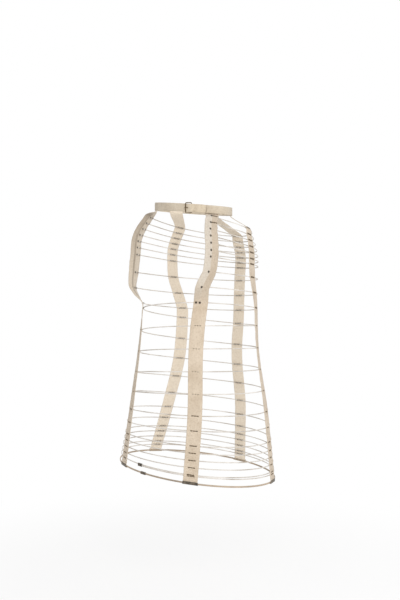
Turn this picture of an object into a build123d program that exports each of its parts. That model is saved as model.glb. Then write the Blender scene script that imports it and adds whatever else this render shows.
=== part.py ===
from build123d import *
import os
from math import ceil, cos, radians, sin

# Crinoline cage: covered steels carried on five cotton tapes that hang from a buckled waistband.
# Millimetres. Origin at the centre of the waistband, +Z up, front towards -Y, wearer's left towards +X.
# A steel's place is given by its drop below the waist and an angle from the front, left side positive.

# Overall sizes
waist_width = 243.0
waist_depth = 187.0
cage_drop = 752.3
hem_width = 464.0
hem_depth = 429.0

# Form of the cage at seven levels: first hip hoop, full hip, seat, knee, shin, calf and hem
level_shares = (0.043, 0.163, 0.252, 0.372, 0.538, 0.766, 1.000)
width_shares = (0.569, 0.655, 0.660, 0.668, 0.718, 0.868, 1.000)
centre_shares = (0.093, 0.082, 0.075, 0.061, 0.058, 0.051, 0.035)
front_shares = (0.494, 0.878, 0.810, 0.396, 0.420, 0.448, 0.487)
back_shares = (0.415, 0.475, 0.470, 0.473, 0.450, 0.503, 0.513)

# How much the steels, and the waistband, hang lower towards the wearer's left and towards the back
left_drop_shares = (0.060, 0.073, 0.020, -0.008, -0.005, 0.030, 0.090)
back_drop_shares = (0.140, 0.090, 0.055, 0.075, 0.088, 0.072, 0.055)
waist_left_drop_share = 0.105
waist_back_drop_share = -0.014

# Where the tapes run, in degrees from the front at the same levels, and at the waistband
front_left_angles = (61.5, 69.1, 66.2, 42.5, 38.0, 34.5, 31.0)
front_right_angles = (65.5, 72.0, 69.0, 42.5, 38.0, 34.5, 31.0)
side_left_angles = (108.5, 104.0, 106.0, 117.5, 118.0, 110.0, 107.0)
side_right_angles = (108.5, 104.0, 106.0, 117.5, 119.5, 114.5, 109.0)
back_angles = (180.0, 180.0, 180.0, 180.0, 180.0, 180.0, 180.0)
front_waist_angle = 60.0
side_waist_angle = 121.0
back_waist_angle = 180.0

# The front tapes are creased, a little in front of their middle: degrees that the free strip turns in
crease_inset = 3.0
left_fold_angles = (24.0, 28.0, 26.0, 0.0, 0.0, 0.0, 0.0)
right_fold_angles = (-30.0, -46.0, -42.0, -10.0, 0.0, 0.0, 0.0)

# Tapes
tape_width = 40.0
tape_thick = 1.0
seat_gap = 0.15

# Steels with their cotton cover
hoop_tall = 2.8
hoop_thick = 1.4
hem_tall = 4.6
hem_thick = 2.6

# Hip half-hoops: close rows, then wide rows, then the last one at the knee
first_hip_drop = 35.3
close_hip_pitch = 18.4
close_hip_rows = 7
wide_hip_pitch = 45.0
wide_hip_rows = 2
last_hip_pitch = 43.5

# Spiral steel: turns at a wide, a middle and a close pitch, then one that closes on itself above the hem
spiral_hem_gap = 17.5
wide_pitch_taper = 2.5
wide_turns = 5
middle_pitch = 38.0
middle_turns = 2
close_pitch = 18.0
close_turns = 4
clip_angle = -11.5
spiral_lead = 8.0

# Steels bend in short straight stretches, so many degrees long at most
facet_angle = 9.5

# Studs at the ends of the half-hoops
stud_diameter = 6.0
stud_tall = 1.3
stud_sides = 10
right_stud_inset = 4.5
hoop_setback = 1.0
spiral_stud_lead = 13.5
stud_gap = 0.25

# Metal clips
clip_wall = 0.7
clip_gap = 0.3
spiral_clip_length = 16.0
hem_joint_length = 18.0
hem_joint_angle = -5.5
hem_joint_opening = 0.6
tape_clip_length = 42.0
tape_clip_lip = 2.4
tape_clip_hook = 1.2
overrun = 2.0

# Waistband and its buckle
band_tall = 23.0
band_thick = 1.2
band_clearance = 2.0
band_slack = 0.7
layer_gap = 0.4
buckle_angle = 25.0
buckle_length = 20.0
buckle_tall = 31.0
bar_wide = 2.4
bar_thick = 1.6
buckle_corner = 4.0
tail_length = 44.0
fold_length = 24.0
prong_wide = 2.0
prong_thick = 1.0
prong_room = 0.4

straight_up = Vector(0, 0, 1)
close_span = (close_hip_rows - 1) * close_hip_pitch
last_close_drop = first_hip_drop + close_span
knee_drop = last_close_drop + wide_hip_rows * wide_hip_pitch + last_hip_pitch
closing_pitch = hoop_tall + clip_gap


def at_level(column, drop):
    """Value of a column of the form at a drop below the waist, without overshoot between levels."""
    place = min(max(drop / cage_drop, level_shares[0]), level_shares[-1])
    steps = [b - a for a, b in zip(level_shares, level_shares[1:])]
    rises = [(b - a) / s for a, b, s in zip(column, column[1:], steps)]
    pairs = list(zip(rises, rises[1:]))
    inner = [2 * p * q / (p + q) if p * q > 0 else 0 for p, q in pairs]
    slopes = [rises[0]] + inner + [rises[-1]]
    k = max(i for i in range(len(steps)) if level_shares[i] <= place)
    t = (place - level_shares[k]) / steps[k]
    start = column[k] + t * steps[k] * slopes[k]
    bend = 3 * (rises[k] - slopes[k]) - (slopes[k + 1] - slopes[k])
    twist = (slopes[k + 1] - slopes[k]) - 2 * (rises[k] - slopes[k])
    return start + steps[k] * (bend * t**2 + twist * t**3)


def hang(x, y, drop):
    """Point of the cage at a plan place, let down by the way the steels hang."""
    sag = at_level(left_drop_shares, drop) * x + at_level(back_drop_shares, drop) * y
    return Vector(x, y, -drop - sag)


def oval(half_width, centre, front, back, angle):
    """Plan point and outward normal of an oval with unlike front and back halves."""
    a = radians(angle)
    reach = front if cos(a) > 0 else back
    normal = Vector(reach * sin(a), -half_width * cos(a), 0).normalized()
    return half_width * sin(a), centre - reach * cos(a), normal


def cage_spot(drop, angle):
    """Point on the cage's form, with the outward normal there."""
    half_width = at_level(width_shares, drop) * hem_width / 2
    centre = at_level(centre_shares, drop) * hem_depth
    front = at_level(front_shares, drop) * hem_depth
    back = at_level(back_shares, drop) * hem_depth
    x, y, normal = oval(half_width, centre, front, back, angle)
    return hang(x, y, drop), normal


def level(drop):
    """Ring of the cage at one drop."""
    return lambda angle: cage_spot(drop, angle)


def step(ring, angle):
    """How far a ring runs in one degree, as a vector."""
    ahead, _ = ring(angle + 1)
    behind, _ = ring(angle - 1)
    return (ahead - behind) / 2


def waist_spot(angle, offset=0, drop=0):
    """Point at an offset outside the waistband's inner face, with the outward normal."""
    x, y, normal = oval(waist_width / 2, 0, waist_depth / 2, waist_depth / 2, angle)
    sag = waist_left_drop_share * x + waist_back_drop_share * y
    return Vector(x, y, -drop - sag) + normal * offset, normal


def ruled(rings):
    """Solid through closed rings of corners, straight from each ring to the next."""
    faces = [Face(Wire.make_polygon(ring)) for ring in (rings[0], rings[-1])]
    for low, high in zip(rings, rings[1:]):
        for i in range(len(low)):
            start, end = [Edge.make_line(ring[i - 1], ring[i]) for ring in (low, high)]
            faces.append(Face.make_surface_from_curves(start, end))
    return Solid(Shell(faces))


def bar(spots, wide, thick, across=straight_up):
    """Strip of rectangular section through (point, normal) spots, wide along one direction."""
    rings = []
    for point, normal in spots:
        side = across * (wide / 2)
        deep = normal * (thick / 2)
        rings.append([point - side - deep, point + side - deep, point + side + deep, point - side + deep])
    return ruled(rings)


def through(marks, most):
    """Even steps from mark to mark, none longer than a limit."""
    values = [marks[0]]
    for a, b in zip(marks, marks[1:]):
        count = ceil((b - a) / most)
        values += [a + (b - a) * i / count for i in range(1, count + 1)]
    return values


def chord_normal(start, end):
    """Outward normal of a straight stretch that runs the way the angles grow."""
    along = end - start
    return Vector(along.Y, -along.X, 0).normalized()


# Hip half-hoops
hip_drops = [first_hip_drop + i * close_hip_pitch for i in range(close_hip_rows)]
hip_drops += [last_close_drop + (i + 1) * wide_hip_pitch for i in range(wide_hip_rows)]
hip_drops += [knee_drop]


def hoop_end(ring, tape):
    """Angle at which a half-hoop ends, just behind the crease of a front tape."""
    return tape - (crease_inset - hoop_setback) / step(ring, tape).length


def hip_hoop(drop):
    ring = level(drop)
    left = hoop_end(ring, at_level(front_left_angles, drop))
    right = hoop_end(ring, at_level(front_right_angles, drop))
    sides = [at_level(side_left_angles, drop), 180, 360 - at_level(side_right_angles, drop)]
    angles = through([left] + sides + [360 - right], facet_angle)
    return bar([ring(a) for a in angles], hoop_tall, hoop_thick)


# Spiral steel, which winds down from the left front tape towards the right front tape
knee_angle = at_level(front_left_angles, knee_drop)
spiral_start = knee_angle - spiral_lead / step(level(knee_drop), knee_angle).length
closing_turns = 1 + (spiral_start - clip_angle) / 360
narrow_drop = middle_turns * middle_pitch + close_turns * close_pitch + closing_turns * closing_pitch
wide_pitch = (cage_drop - spiral_hem_gap - narrow_drop - knee_drop) / wide_turns
first_pitch = wide_pitch + wide_pitch_taper * (wide_turns - 1) / 2
spiral_pitches = [first_pitch - wide_pitch_taper * i for i in range(wide_turns)]
spiral_pitches += [middle_pitch] * middle_turns + [close_pitch] * close_turns
spiral_turns = len(spiral_pitches) + closing_turns
clip_turns = spiral_clip_length / step(level(cage_drop), clip_angle).length / 360


def spiral_drop(turn):
    """Drop of the spiral after a number of turns from its upper end."""
    whole = min(int(turn), len(spiral_pitches))
    pitch = spiral_pitches[whole] if whole < len(spiral_pitches) else closing_pitch
    return knee_drop + sum(spiral_pitches[:whole]) + (turn - whole) * pitch


def spiral_spot(turn):
    return cage_spot(spiral_drop(turn), spiral_start - 360 * turn)


def crossings(column, mirror):
    """Turns at which the spiral passes a tape, from the top down, without its fixed upper end."""
    found = []
    for k in range(len(spiral_pitches) + 2):
        turn = k
        for _ in range(len(level_shares)):
            angle = mirror * at_level(column, spiral_drop(max(turn, 0)))
            turn = k + (spiral_start - angle) % 360 / 360
        if turn <= spiral_turns:
            found.append(turn)
    return found


tape_columns = {
    "front_right_tape": (front_right_angles, -1, front_waist_angle),
    "side_right_tape": (side_right_angles, -1, side_waist_angle),
    "centre_back_tape": (back_angles, 1, back_waist_angle),
    "side_left_tape": (side_left_angles, 1, side_waist_angle),
    "front_left_tape": (front_left_angles, 1, front_waist_angle),
}


def spiral_steel():
    passes = [t for column, mirror, _ in tape_columns.values() for t in crossings(column, mirror)]
    held = [spiral_turns - 1 - clip_turns, spiral_turns - 1, spiral_turns - clip_turns]
    turns = through([0] + sorted(passes + held) + [spiral_turns], facet_angle / 360)
    return bar([spiral_spot(t) for t in reversed(turns)], hoop_tall, hoop_thick)


# Hem hoop, open at its joint and straight inside its clips
hem_ring = level(cage_drop)
hem_tapes = [front_left_angles[-1], side_left_angles[-1], back_angles[-1]]
hem_tapes += [360 - side_right_angles[-1], 360 - front_right_angles[-1]]
joint_pace = step(hem_ring, hem_joint_angle).length
joint_half = hem_joint_length / 2 / joint_pace


def held_angles(angle):
    """Angles at the two ends of a tape's clip on the hem hoop."""
    half = tape_clip_length / 2 / step(hem_ring, angle).length
    return angle - half, angle + half


def hem_hoop():
    opening = hem_joint_opening / 2 / joint_pace
    ends = [hem_joint_angle + joint_half]
    for angle in hem_tapes:
        ends += held_angles(angle)
    ends.append(360 + hem_joint_angle - joint_half)
    angles = [hem_joint_angle + opening]
    for first, last in zip(ends[0::2], ends[1::2]):
        angles += through([first, last], facet_angle)
    angles.append(360 + hem_joint_angle - opening)
    return bar([hem_ring(a) for a in angles], hem_tall, hem_thick)


def hem_seat(angle):
    """Middle, outward normal and direction of the hem hoop's straight stretch at a tape."""
    start, end = [hem_ring(a)[0] for a in held_angles(angle)]
    return (start + end) / 2, chord_normal(start, end), (end - start).normalized()


def sleeve(start, end, wide, thick):
    """Closed metal sleeve round a straight stretch of steel."""
    normal = chord_normal(start, end)
    more = (end - start).normalized() * overrun
    wall = clip_gap + clip_wall
    outer = bar([(start, normal), (end, normal)], wide + 2 * wall, thick + 2 * wall)
    room = bar([(start - more, normal), (end + more, normal)], wide + 2 * clip_gap, thick + 2 * clip_gap)
    return outer - room


def hem_joint_clip():
    start, end = [hem_ring(hem_joint_angle + half)[0] for half in (-joint_half, joint_half)]
    return sleeve(start, end, hem_tall, hem_thick)


def spiral_end_clip():
    """Sleeve round the spiral's lower end and the turn above it."""
    lower = [spiral_spot(spiral_turns - back)[0] for back in (0, clip_turns)]
    upper = [spiral_spot(spiral_turns - 1 - back)[0] for back in (0, clip_turns)]
    start, end = [(a + b) / 2 for a, b in zip(lower, upper)]
    apart = upper[0] - lower[0]
    lean = abs(apart.dot(chord_normal(start, end)))
    return sleeve(start, end, hoop_tall + apart.Z, hoop_thick + lean)


def tape_clip(angle):
    """J-shaped channel under the hem hoop, high outside the tape's lower end and hooked inside the hoop."""
    middle, normal, along = hem_seat(angle)
    inside = -hem_thick / 2 - clip_gap
    outside = hem_thick / 2 + seat_gap + tape_thick + clip_gap
    floor = -hem_tall / 2 - clip_gap
    lip = hem_tall / 2 + tape_clip_lip
    room = [(inside, floor + tape_clip_hook), (inside, floor), (outside, floor), (outside, lip)]
    skin = [(outside + clip_wall, lip), (outside + clip_wall, floor - clip_wall)]
    skin += [(inside - clip_wall, floor - clip_wall), (inside - clip_wall, floor + tape_clip_hook)]
    section = make_face(Polyline(*room, *skin, close=True))
    return Plane(middle, x_dir=normal, z_dir=-along) * extrude(section, tape_clip_length / 2, both=True)


# Tapes
def band_sag(angle):
    """How far the curved band comes inside a flat tape's plane at the tape's edges."""
    middle, normal = waist_spot(angle)
    half = tape_width / 2 / step(waist_spot, angle).length
    return max((middle - waist_spot(angle + side)[0]).dot(normal) for side in (-half, half))


def core(ring, angle, thick, tall):
    """What a tape lies on: middle, outward normal, direction and section."""
    point, normal = ring(angle)
    return point, normal, step(ring, angle).normalized(), thick, tall


def tape_path(column, mirror, waist_angle):
    """Stations of a tape from the top down, each laid on what is under it."""
    inside = -(band_sag(mirror * waist_angle) + band_slack + tape_thick / 2)
    cores = []
    for drop in (-band_tall / 4, band_tall / 2 + band_clearance):
        cores.append(core(lambda a: waist_spot(a, inside, drop), mirror * waist_angle, 0, 0))
    drops = hip_drops + [spiral_drop(t) for t in crossings(column, mirror)]
    for drop in drops:
        if drop in hip_drops or drop - knee_drop > tape_thick + hoop_tall:
            cores.append(core(level(drop), mirror * at_level(column, drop), hoop_thick, hoop_tall))
    point, normal, along = hem_seat(mirror * column[-1])
    cores.append((point, normal, along, hem_thick, hem_tall))
    cores.append((point - straight_up * (hem_tall / 2), normal, along, hem_thick, 0))
    return [seated(cores, i) for i in range(len(cores))]


def run_normal(normal, start, end):
    """Normal of a straight run, turned outward, in the upright plane of a plan normal."""
    along = end - start
    return (normal * -along.Z + straight_up * along.dot(normal)).normalized()


def seated(cores, i):
    """Station of a tape: middle, cross direction, outward normal, mitre and hollowness of the bend."""
    point, normal, across, thick, tall = cores[i]
    near = [cores[k][0] for k in (i - 1, i + 1) if 0 <= k < len(cores)]
    runs = [run_normal(normal, *sorted((point, other), key=lambda v: -v.Z)) for other in near]
    middle = sum(runs[1:], runs[0]).normalized()
    mitre = max(1 / middle.dot(r) for r in runs)
    hollow = max(0, *[(other - point).normalized().dot(middle) for other in near])
    if thick == 0:
        return point, across, middle, mitre, hollow
    reach = max((abs(r.dot(normal)) * thick / 2 + abs(r.Z) * tall / 2) / middle.dot(r) for r in runs)
    lift = reach + (seat_gap + tape_thick / 2) * mitre
    return point + middle * lift, across, middle, mitre, hollow


def flat_tape(path):
    rings = []
    for point, across, middle, mitre, _ in path:
        side = across * (tape_width / 2)
        deep = middle * (tape_thick / 2 * mitre)
        rings.append([point - side - deep, point + side - deep, point + side + deep, point - side + deep])
    return ruled(rings)


def creased_tape(path, mirror, folds):
    """Front tape whose rear strip lies on the steels and whose free strip turns at the crease."""
    turns = [0, 0] + [radians(at_level(folds, -spot[0].Z)) for spot in path[2:]]
    rings = []
    for turn, (point, across, middle, mitre, _) in zip(turns, path):
        rear = across * mirror
        crease = point - rear * crease_inset
        back = point + rear * (tape_width / 2)
        free = crease - (rear * cos(turn) + middle * sin(turn)) * (tape_width / 2 - crease_inset)
        half = middle * (tape_thick / 2 * mitre)
        tilted = half * cos(turn) - rear * (tape_thick / 2 * sin(turn))
        rings.append([crease - half, back - half, back + half, crease + half, free + tilted, free - tilted])
    return ruled(rings)


def stud(spot, inset):
    """Head on the outer face of a tape, at an inset from the middle of the tape."""
    point, across, middle, mitre, hollow = spot
    lift = tape_thick / 2 * mitre + stud_gap + stud_diameter / 2 * hollow
    head = extrude(RegularPolygon(stud_diameter / 2, stud_sides), stud_tall)
    return Plane(point + across * inset + middle * lift, z_dir=middle) * head


def stud_row(path, inset):
    """Heads that hold the half-hoops' ends to a front tape."""
    return [stud(spot, inset) for spot in path[2:2 + len(hip_drops)]]


# Waistband and buckle, placed by the length along the belt from the buckle and the distance out
belt_pace = step(waist_spot, buckle_angle).length
bar_place = (buckle_length - bar_wide) / 2
bar_out = (band_thick + bar_thick) / 2 + layer_gap
fold_out = band_thick + layer_gap
fold_over = 2 * bar_out
tail_out = 2 * fold_out
tail_over = fold_over + fold_out
wrap = (bar_wide + band_thick) / 2 + layer_gap


def belt_spot(along, out):
    return waist_spot(buckle_angle + along / belt_pace, band_thick / 2 + out)[0]


def belt_run(first, last, out):
    """Points along the belt at one distance out, bent like a steel."""
    most = facet_angle * belt_pace
    ahead = through([min(first, last), max(first, last)], most)
    return [belt_spot(a, out) for a in (ahead if first < last else reversed(ahead))]


def belt_path():
    """Middle line of the belt: fold round the hinge bar, round the waist, through the buckle, tail."""
    points = belt_run(bar_place + fold_length, bar_place + 2 * wrap, fold_out)
    points += [belt_spot(bar_place + bar_wide / 2, fold_over)]
    points += [belt_spot(bar_place - wrap, fold_over), belt_spot(bar_place - wrap, 0)]
    points += belt_run(bar_place + wrap, 360 * belt_pace - bar_place, 0)
    points += [belt_spot(bar_wide - bar_place, 0), belt_spot(bar_place - wrap - band_thick, tail_over)]
    points += [belt_spot(bar_place + bar_wide, tail_over)]
    return points + belt_run(bar_place + 3 * wrap, bar_place + tail_length, tail_out)


def mitred(points):
    """Spots of a plan path with its right-hand normals, lengthened at the corners."""
    sides = [chord_normal(a, b) for a, b in zip(points, points[1:])]
    spots = []
    for point, before, after in zip(points, sides[:1] + sides, sides + sides[-1:]):
        middle = (before + after).normalized()
        spots.append((point, middle * (1 / middle.dot(after))))
    return spots


def buckle_frame():
    ends = [belt_spot(place, bar_out) for place in (-bar_place, bar_place)]
    normal = chord_normal(*ends)
    plane = Plane((ends[0] + ends[1]) / 2, x_dir=straight_up.cross(normal), z_dir=normal)
    outline = RectangleRounded(buckle_length, buckle_tall, buckle_corner)
    gap = buckle_length - 2 * bar_wide
    window = RectangleRounded(gap, buckle_tall - 2 * bar_wide, buckle_corner - bar_wide)
    return plane * extrude(outline - window, bar_thick / 2, both=True)


def buckle_prong(room=0):
    """Prong hooked round the hinge bar, through the belt and onto the outer bar, or the room it needs."""
    beside = (bar_wide + prong_thick + layer_gap) / 2
    above = (bar_thick + prong_thick + layer_gap) / 2
    points = [
        belt_spot(bar_place + beside, bar_out),
        belt_spot(bar_place + beside, bar_out - above),
        belt_spot(bar_place - beside, bar_out - above),
        belt_spot(bar_place - beside, bar_out),
        belt_spot(bar_wide - bar_place, bar_out + above),
        belt_spot(-bar_place - bar_wide, bar_out + above),
    ]
    return bar(mitred(points), prong_wide + 2 * room, prong_thick + 2 * room)


parts = {}
paths = {name: tape_path(*row) for name, row in tape_columns.items()}
for name, path in paths.items():
    parts[name] = flat_tape(path)
parts["front_left_tape"] = creased_tape(paths["front_left_tape"], 1, left_fold_angles)
parts["front_right_tape"] = creased_tape(paths["front_right_tape"], -1, right_fold_angles)
for number, drop in enumerate(hip_drops, 1):
    parts[f"hip_hoop_{number:02d}"] = hip_hoop(drop)
parts["spiral_steel"] = spiral_steel()
parts["hem_hoop"] = hem_hoop()
parts["hem_joint_clip"] = hem_joint_clip()
parts["spiral_end_clip"] = spiral_end_clip()
parts["hem_tape_clips"] = Compound(children=[tape_clip(a) for a in hem_tapes])
left_studs = stud_row(paths["front_left_tape"], -crease_inset)
left_studs.append(stud(paths["front_left_tape"][1 + len(hip_drops)], -spiral_stud_lead))
parts["left_hoop_studs"] = Compound(children=left_studs)
parts["right_hoop_studs"] = Compound(children=stud_row(paths["front_right_tape"], -right_stud_inset))
parts["waistband"] = bar(mitred(belt_path()), band_tall, band_thick) - buckle_prong(prong_room)
parts["buckle_frame"] = buckle_frame()
parts["buckle_prong"] = buckle_prong()

os.makedirs("parts", exist_ok=True)
for name, shape in parts.items():
    export_step(shape, f"parts/{name}.step")
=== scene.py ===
import math
import bmesh
import bpy
from math import cos, radians, sin
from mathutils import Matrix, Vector, noise


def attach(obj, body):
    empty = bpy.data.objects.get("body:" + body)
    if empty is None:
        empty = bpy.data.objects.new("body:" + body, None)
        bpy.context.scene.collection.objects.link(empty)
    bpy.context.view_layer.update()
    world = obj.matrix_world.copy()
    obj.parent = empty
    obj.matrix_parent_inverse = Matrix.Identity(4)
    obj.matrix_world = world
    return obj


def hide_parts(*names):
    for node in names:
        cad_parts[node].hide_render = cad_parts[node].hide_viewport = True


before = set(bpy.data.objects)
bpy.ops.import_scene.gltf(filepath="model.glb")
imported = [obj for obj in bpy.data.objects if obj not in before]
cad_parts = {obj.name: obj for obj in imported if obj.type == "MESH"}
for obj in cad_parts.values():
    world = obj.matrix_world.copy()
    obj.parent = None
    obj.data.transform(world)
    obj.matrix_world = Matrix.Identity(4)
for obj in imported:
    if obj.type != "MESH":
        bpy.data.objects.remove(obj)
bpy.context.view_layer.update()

# Crinoline cage. Shapes are worked out in millimetres and written to the meshes in metres.
# Origin at the centre of the waistband, +Z up, front towards -Y, wearer's left towards +X.
MM = 0.001
UP = Vector((0, 0, 1))

# Sizes shared with the solids
waist_width, waist_depth = 243.0, 187.0
cage_drop, hem_width, hem_depth = 752.3, 464.0, 429.0
level_shares = (0.043, 0.163, 0.252, 0.372, 0.538, 0.766, 1.000)
width_shares = (0.569, 0.655, 0.660, 0.668, 0.718, 0.868, 1.000)
centre_shares = (0.093, 0.082, 0.075, 0.061, 0.058, 0.051, 0.035)
front_shares = (0.494, 0.878, 0.810, 0.396, 0.420, 0.448, 0.487)
back_shares = (0.415, 0.475, 0.470, 0.473, 0.450, 0.503, 0.513)
left_drop_shares = (0.060, 0.073, 0.020, -0.008, -0.005, 0.030, 0.090)
back_drop_shares = (0.140, 0.090, 0.055, 0.075, 0.088, 0.072, 0.055)
waist_left_drop_share, waist_back_drop_share = 0.105, -0.014
front_left_angles = (61.5, 69.1, 66.2, 42.5, 38.0, 34.5, 31.0)
front_right_angles = (65.5, 72.0, 69.0, 42.5, 38.0, 34.5, 31.0)
side_left_angles = (108.5, 104.0, 106.0, 117.5, 118.0, 110.0, 107.0)
side_right_angles = (108.5, 104.0, 106.0, 117.5, 119.5, 114.5, 109.0)
back_angles = (180.0, 180.0, 180.0, 180.0, 180.0, 180.0, 180.0)
front_waist_angle, side_waist_angle, back_waist_angle = 60.0, 121.0, 180.0
left_fold_angles = (24.0, 28.0, 26.0, 0.0, 0.0, 0.0, 0.0)
right_fold_angles = (-30.0, -46.0, -42.0, -10.0, 0.0, 0.0, 0.0)
no_fold_angles = (0.0,) * 7
left_lift_angles = (0.0, 19.0, 17.0, 4.0, 0.0, 0.0, 0.0)
tape_width, tape_thick, seat_gap = 40.0, 1.0, 0.15
hoop_tall, hoop_thick, hem_tall, hem_thick = 2.8, 1.4, 4.6, 2.6
first_hip_drop, close_hip_pitch, close_hip_rows = 35.3, 18.4, 7
wide_hip_pitch, wide_hip_rows, last_hip_pitch = 45.0, 2, 43.5
spiral_hem_gap, wide_turns, middle_pitch, middle_turns, close_pitch, close_turns = 17.5, 5, 38.0, 2, 18.0, 4
wide_pitch_taper = 2.5
clip_angle, spiral_lead, hoop_setback, clip_gap = -11.5, 8.0, 1.0, 0.3
stud_diameter, stud_tall, right_stud_inset, spiral_stud_lead, stud_gap = 6.0, 1.3, 4.5, 13.5, 0.25
crease_inset = 3.0
hem_joint_angle, hem_joint_opening, tape_clip_length = -5.5, 0.6, 42.0
band_tall, band_thick, band_clearance, band_slack, layer_gap = 23.0, 1.2, 2.0, 0.7, 0.4
buckle_angle, buckle_length, bar_wide, bar_thick = 25.0, 20.0, 2.4, 1.6
tail_length, fold_length = 44.0, 24.0

last_close_drop = first_hip_drop + (close_hip_rows - 1) * close_hip_pitch
knee_drop = last_close_drop + wide_hip_rows * wide_hip_pitch + last_hip_pitch


# The form of the cage, as in the solids
def at_level(column, drop):
    """Value at a drop on a smooth curve through a column of values, which doesn't overshoot them."""
    place = min(max(drop / cage_drop, level_shares[0]), level_shares[-1])
    steps = [b - a for a, b in zip(level_shares, level_shares[1:])]
    rises = [(b - a) / s for a, b, s in zip(column, column[1:], steps)]
    inner = [2 * p * q / (p + q) if p * q > 0 else 0 for p, q in zip(rises, rises[1:])]
    slopes = [rises[0]] + inner + [rises[-1]]
    k = max(i for i in range(len(steps)) if level_shares[i] <= place)
    t = (place - level_shares[k]) / steps[k]
    start = column[k] + t * steps[k] * slopes[k]
    bend = 3 * (rises[k] - slopes[k]) - (slopes[k + 1] - slopes[k])
    twist = (slopes[k + 1] - slopes[k]) - 2 * (rises[k] - slopes[k])
    return start + steps[k] * (bend * t**2 + twist * t**3)


def hang(x, y, drop):
    """Point of the cage at a drop, lowered by the tilt of the hoops there."""
    sag = at_level(left_drop_shares, drop) * x + at_level(back_drop_shares, drop) * y
    return Vector((x, y, -drop - sag))


def oval(half_width, centre, front, back, angle):
    """Place on an oval with its own depth at front and back, and the way out."""
    a = radians(angle)
    reach = front if cos(a) > 0 else back
    normal = Vector((reach * sin(a), -half_width * cos(a), 0)).normalized()
    return half_width * sin(a), centre - reach * cos(a), normal


def cage_spot(drop, angle):
    """Point of the cage and way out at a drop and an angle, 0 at the front and 90 at the wearer's left."""
    half_width = at_level(width_shares, drop) * hem_width / 2
    centre, front, back = (at_level(c, drop) * hem_depth for c in (centre_shares, front_shares, back_shares))
    x, y, normal = oval(half_width, centre, front, back, angle)
    return hang(x, y, drop), normal


def level(drop):
    return lambda angle: cage_spot(drop, angle)


def step(ring, angle):
    """Move of a point on a ring for one degree."""
    return (ring(angle + 1)[0] - ring(angle - 1)[0]) / 2


def waist_spot(angle, offset=0, drop=0):
    """Point round the waist and way out, at an offset from it and a drop below it."""
    x, y, normal = oval(waist_width / 2, 0, waist_depth / 2, waist_depth / 2, angle)
    sag = waist_left_drop_share * x + waist_back_drop_share * y
    return Vector((x, y, -drop - sag)) + normal * offset, normal


def chord_normal(start, end):
    along = end - start
    return Vector((along.y, -along.x, 0)).normalized()


hip_drops = [first_hip_drop + i * close_hip_pitch for i in range(close_hip_rows)]
hip_drops += [last_close_drop + (i + 1) * wide_hip_pitch for i in range(wide_hip_rows)] + [knee_drop]
closing_pitch = hoop_tall + clip_gap
knee_angle = at_level(front_left_angles, knee_drop)
spiral_start = knee_angle - spiral_lead / step(level(knee_drop), knee_angle).length
closing_turns = 1 + (spiral_start - clip_angle) / 360
narrow_drop = middle_turns * middle_pitch + close_turns * close_pitch + closing_turns * closing_pitch
wide_pitch = (cage_drop - spiral_hem_gap - narrow_drop - knee_drop) / wide_turns
first_pitch = wide_pitch + wide_pitch_taper * (wide_turns - 1) / 2
spiral_pitches = [first_pitch - wide_pitch_taper * i for i in range(wide_turns)]
spiral_pitches += [middle_pitch] * middle_turns + [close_pitch] * close_turns
spiral_turns = len(spiral_pitches) + closing_turns


def spiral_drop(turn):
    whole = min(int(turn), len(spiral_pitches))
    pitch = spiral_pitches[whole] if whole < len(spiral_pitches) else closing_pitch
    return knee_drop + sum(spiral_pitches[:whole]) + (turn - whole) * pitch


def spiral_spot(turn):
    return cage_spot(spiral_drop(turn), spiral_start - 360 * turn)


def crossings(column, mirror):
    """Turns at which the spiral meets a tape."""
    found = []
    for k in range(len(spiral_pitches) + 2):
        turn = k
        for _ in range(len(level_shares)):
            angle = mirror * at_level(column, spiral_drop(max(turn, 0)))
            turn = k + (spiral_start - angle) % 360 / 360
        if turn <= spiral_turns:
            found.append(turn)
    return found


hem_ring = level(cage_drop)


def held_angles(angle):
    """Angles between which a clip holds the hem hoop."""
    half = tape_clip_length / 2 / step(hem_ring, angle).length
    return angle - half, angle + half


def hem_seat(angle):
    """Middle, way out and direction of the hem hoop's straight length in a clip."""
    start, end = [hem_ring(a)[0] for a in held_angles(angle)]
    return (start + end) / 2, chord_normal(start, end), (end - start).normalized()


def band_sag(angle):
    """How far the waist's curve falls away behind the width of a tape."""
    middle, normal = waist_spot(angle)
    half = tape_width / 2 / step(waist_spot, angle).length
    return max((middle - waist_spot(angle + side)[0]).dot(normal) for side in (-half, half))


def core(ring, angle, thick, tall):
    """What a tape lies on at a place: point, way out, direction, thickness and height."""
    point, normal = ring(angle)
    return point, normal, step(ring, angle).normalized(), thick, tall


def tape_cores(column, mirror, waist_angle):
    """All that a tape lies on from waist to hem."""
    inside = -(band_sag(mirror * waist_angle) + band_slack + tape_thick / 2)
    cores = []
    for drop in (-band_tall / 4, band_tall / 2 + band_clearance):
        cores.append(core(lambda a: waist_spot(a, inside, drop), mirror * waist_angle, 0, 0))
    for drop in hip_drops + [spiral_drop(t) for t in crossings(column, mirror)]:
        if drop in hip_drops or drop - knee_drop > tape_thick + hoop_tall:
            cores.append(core(level(drop), mirror * at_level(column, drop), hoop_thick, hoop_tall))
    point, normal, along = hem_seat(mirror * column[-1])
    cores.append((point, normal, along, hem_thick, hem_tall))
    cores.append((point - UP * (hem_tall / 2), normal, along, hem_thick, 0))
    return cores


def run_normal(normal, start, end):
    """Way out of a tape's straight run from one place down to the next."""
    along = end - start
    return (normal * -along.z + UP * along.dot(normal)).normalized()


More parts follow.
